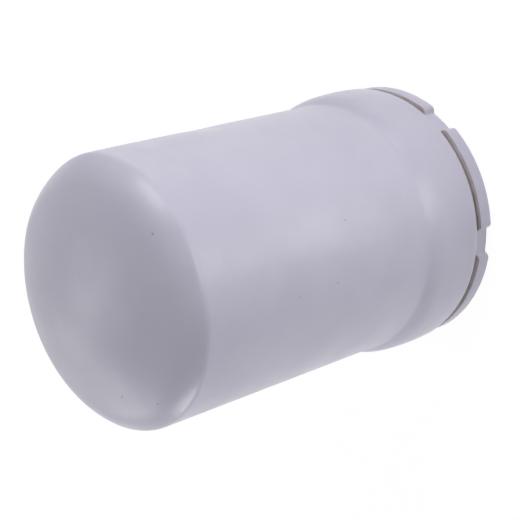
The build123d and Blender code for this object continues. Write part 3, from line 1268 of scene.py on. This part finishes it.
@dataclass
class ValveSpring:
    """The coil spring under the poppet, which shortens as the poppet opens."""

    node: str = "bypass_spring"
    joint: str = "bypass_slide"
    travel: float = 4.0

    def build(self, nodes: dict[str, bpy.types.Object], shelf: FinishShelf) -> bpy.types.Object:
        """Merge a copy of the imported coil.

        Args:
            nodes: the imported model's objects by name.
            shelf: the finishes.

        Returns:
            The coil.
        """
        piece = bpy.data.objects.new("valve_spring_coil", nodes[self.node].data.copy())
        bpy.context.scene.collection.objects.link(piece)
        edit_all(piece)
        bpy.ops.mesh.remove_doubles(threshold=CLOSE)
        bpy.ops.mesh.normals_make_consistent(inside=False)
        bpy.ops.object.mode_set(mode="OBJECT")
        settle(piece, BODY, Shade.CREASED)
        shelf.dress(piece, FinishName.SPRING)
        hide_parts(self.node)
        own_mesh(piece)
        return piece


@dataclass
class InnerParts:
    """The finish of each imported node. The element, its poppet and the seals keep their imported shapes."""

    finishes: dict[FinishName, tuple[str, ...]] = field(
        default_factory=lambda: {
            FinishName.RUBBER: ("collar_ring", "face_seal", "outlet_grommet", "poppet_washer"),
            FinishName.ZINC: (
                "flow_plate", "mouth_cap", "seam_clip", "dome_cap", "bypass_cage", "spring_cup",
            ),
            FinishName.POTTING: ("mouth_potting", "dome_potting"),
            FinishName.TUBE: ("centre_tube",),
            FinishName.PAPER: ("pleated_media",),
            FinishName.VALVE: ("bypass_seat", "bypass_poppet"),
            FinishName.SPRING: ("bypass_spring", "element_spring"),
            FinishName.CAN: ("can",),
            FinishName.COLLAR: ("thread_collar",),
            FinishName.SEALANT: ("lip_sealant",),
        }
    )

    def dress(self, nodes: dict[str, bpy.types.Object], shelf: FinishShelf) -> None:
        """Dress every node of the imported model.

        Args:
            nodes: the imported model's objects by name.
            shelf: the finishes.
        """
        for finish, names in self.finishes.items():
            for name in names:
                shelf.dress(nodes[name], finish)
                log.info("dressed %s in %s", name, finish.value)


@dataclass(frozen=True)
class Lamp:
    """A soft square lamp a metre from the filter's middle: its azimuth, its elevation and its power.

    The azimuth is in degrees round the filter's axis from X, and the elevation in degrees above level.
    """

    name: str
    azimuth: float
    elevation: float
    power: float
    side: float = 430.0
    distance: float = 1000.0


LAMPS = (
    Lamp("front_lamp", 25.7, 6.0, 2.12),
    Lamp("low_side_lamp", 77.1, 6.0, 1.27),
    Lamp("side_lamp", 90.0, 28.0, 3.27),
    Lamp("low_left_lamp", 282.9, 6.0, 2.75),
    Lamp("left_lamp", 244.3, 28.0, 1.36),
    Lamp("rim_lamp", 218.6, 28.0, 0.60),
    Lamp("dome_lamp", 200.0, 52.0, 1.05),
)


@dataclass(frozen=True)
class FloorPanel:
    """A soft panel light lying on the floor before the filter, whose reflection streaks the paint."""

    azimuth: float = 25.0
    start: float = 120.0
    end: float = 475.0
    width: float = 75.0
    lift: float = 1.0
    power: float = 0.122


@dataclass
class Studio:
    """A pale floor, soft light and the camera at the photo's angle."""

    camera_place: tuple[float, float, float] = (401.51, 187.22, 474.06)
    camera_aim: tuple[float, float, float] = (1.67, -3.49, 83.04)
    camera_roll: float = 106.77
    focal_pixels: float = 1432.5
    floor_side: float = 6000.0
    floor_drop: float = 0.2
    floor_color: Color = (0.90, 0.90, 0.90)
    floor_shade: Color = (0.14, 0.14, 0.14)
    floor_glow: float = 0.93
    floor_roughness: float = 0.9
    surround: float = 0.15
    lamp_aim: float = 90.0

    def build_camera(self) -> None:
        """Create the scene's camera."""
        place = Vector(self.camera_place) * MM
        forward = (Vector(self.camera_aim) * MM - place).normalized()
        side = forward.cross(Vector(UP)).normalized()
        level_up = side.cross(forward)
        roll = math.radians(self.camera_roll)
        up = level_up * math.cos(roll) + side * math.sin(roll)
        right = forward.cross(up)
        data = bpy.data.cameras.new("photo_camera")
        data.sensor_width = SENSOR_WIDTH
        data.lens = self.focal_pixels * SENSOR_WIDTH / PHOTO_SIDE
        camera = bpy.data.objects.new("photo_camera", data)
        bpy.context.scene.collection.objects.link(camera)
        turn = Matrix((right, up, -forward)).transposed().to_4x4()
        camera.matrix_world = Matrix.Translation(place) @ turn
        bpy.context.scene.camera = camera

    def build_floor(self) -> None:
        """Lay the pale floor that keeps a faint shadow."""
        deselect_all()
        place = (0.0, 0.0, -self.floor_drop * MM)
        bpy.ops.mesh.primitive_plane_add(size=self.floor_side * MM, location=place)
        floor = bpy.context.object
        floor.name = "studio_floor"
        material = bpy.data.materials.new("floor_white")
        material.use_nodes = True
        bench = Bench(material.node_tree)
        shader = material.node_tree.nodes["Principled BSDF"]
        shader.inputs["Roughness"].default_value = self.floor_roughness
        shader.inputs["Specular IOR Level"].default_value = 0.0
        shader.inputs["Emission Color"].default_value = WHITE
        seen = self.seen(bench)
        bench.join(bench.blend(seen, self.floor_color, self.floor_shade), shader.inputs["Base Color"])
        bench.join(bench.math("MULTIPLY", seen, self.floor_glow), shader.inputs["Emission Strength"])
        floor.data.materials.append(material)

    @staticmethod
    def seen(bench: Bench) -> Socket:
        """Tell what is seen from what lights the object.

        Args:
            bench: the material's or the world's bench.

        Returns:
            1 for rays from the camera, a reflection or glass, and 0 for rays of light.
        """
        path = bench.add("ShaderNodeLightPath")
        mirrored = bench.math("MAXIMUM", path.outputs["Is Glossy Ray"], path.outputs["Is Transmission Ray"])
        return bench.math("MAXIMUM", path.outputs["Is Camera Ray"], mirrored)

    def hang(self, lamp: Lamp) -> None:
        """Hang a soft square lamp that faces the filter.

        Args:
            lamp: the lamp.
        """
        way = direction(lamp.azimuth, lamp.elevation)
        middle = Vector((0.0, 0.0, self.lamp_aim)) * MM
        facing = (-way).to_track_quat("-Z", "Y").to_matrix().to_4x4()
        place = Matrix.Translation(middle + way * lamp.distance * MM) @ facing
        self._add_light(lamp.name, (lamp.side, lamp.side), lamp.power, place)

    def lay(self, panel: FloorPanel) -> None:
        """Lay a panel light on the floor, facing up.

        Args:
            panel: the panel.
        """
        middle = direction(panel.azimuth, 0.0) * (panel.start + panel.end) / 2.0
        spot = (middle + Vector((0.0, 0.0, panel.lift))) * MM
        facing = Matrix.Rotation(math.radians(panel.azimuth), 4, "Z") @ Matrix.Rotation(math.pi, 4, "X")
        sides = (panel.end - panel.start, panel.width)
        self._add_light("floor_panel", sides, panel.power, Matrix.Translation(spot) @ facing)

    @staticmethod
    def _add_light(name: str, sides: tuple[float, float], power: float, place: Matrix) -> None:
        """Add an area light that the camera doesn't see.

        Args:
            name: its name.
            sides: its length and width in millimetres.
            power: its power in watts.
            place: where it is and how it is turned.
        """
        data = bpy.data.lights.new(name, "AREA")
        data.shape = "RECTANGLE"
        data.size, data.size_y = (side * MM for side in sides)
        data.energy = power
        light = bpy.data.objects.new(name, data)
        bpy.context.scene.collection.objects.link(light)
        light.matrix_world = place
        light.visible_camera = False

    def build_world(self) -> None:
        """Fill the shadows with a plain pale surround."""
        world = bpy.data.worlds.new("surround")
        world.use_nodes = True
        bench = Bench(world.node_tree)
        sky = world.node_tree.nodes["Background"]
        sky.inputs["Color"].default_value = WHITE
        rest = bench.math("MULTIPLY", self.seen(bench), 1.0 - self.surround)
        bench.join(bench.math("ADD", rest, self.surround), sky.inputs["Strength"])
        bpy.context.scene.world = world

    def build(self) -> None:
        """Set the whole stage."""
        self.build_camera()
        self.build_floor()
        self.build_world()
        for lamp in LAMPS:
            self.hang(lamp)
        self.lay(FloorPanel())
        bpy.context.scene.view_settings.view_transform = "Standard"


def main() -> None:
    """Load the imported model, dress it and set the stage."""
    logging.basicConfig(level=logging.INFO, format="%(name)s: %(message)s")
    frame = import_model()
    shelf = FinishShelf(SurfaceEffects())
    shelf.stock()
    InnerParts().dress(frame["nodes"], shelf)
    can = CanShell().build(shelf)
    log.info("built %s", can.name)
    for piece in ThreadCollar().build(shelf):
        log.info("built %s", piece.name)
    bead = LipSealant().build(shelf)
    log.info("built %s", bead.name)
    coil = ValveSpring().build(frame["nodes"], shelf)
    log.info("built %s", coil.name)
    Studio().build()


if __name__ == "__main__":
    main()
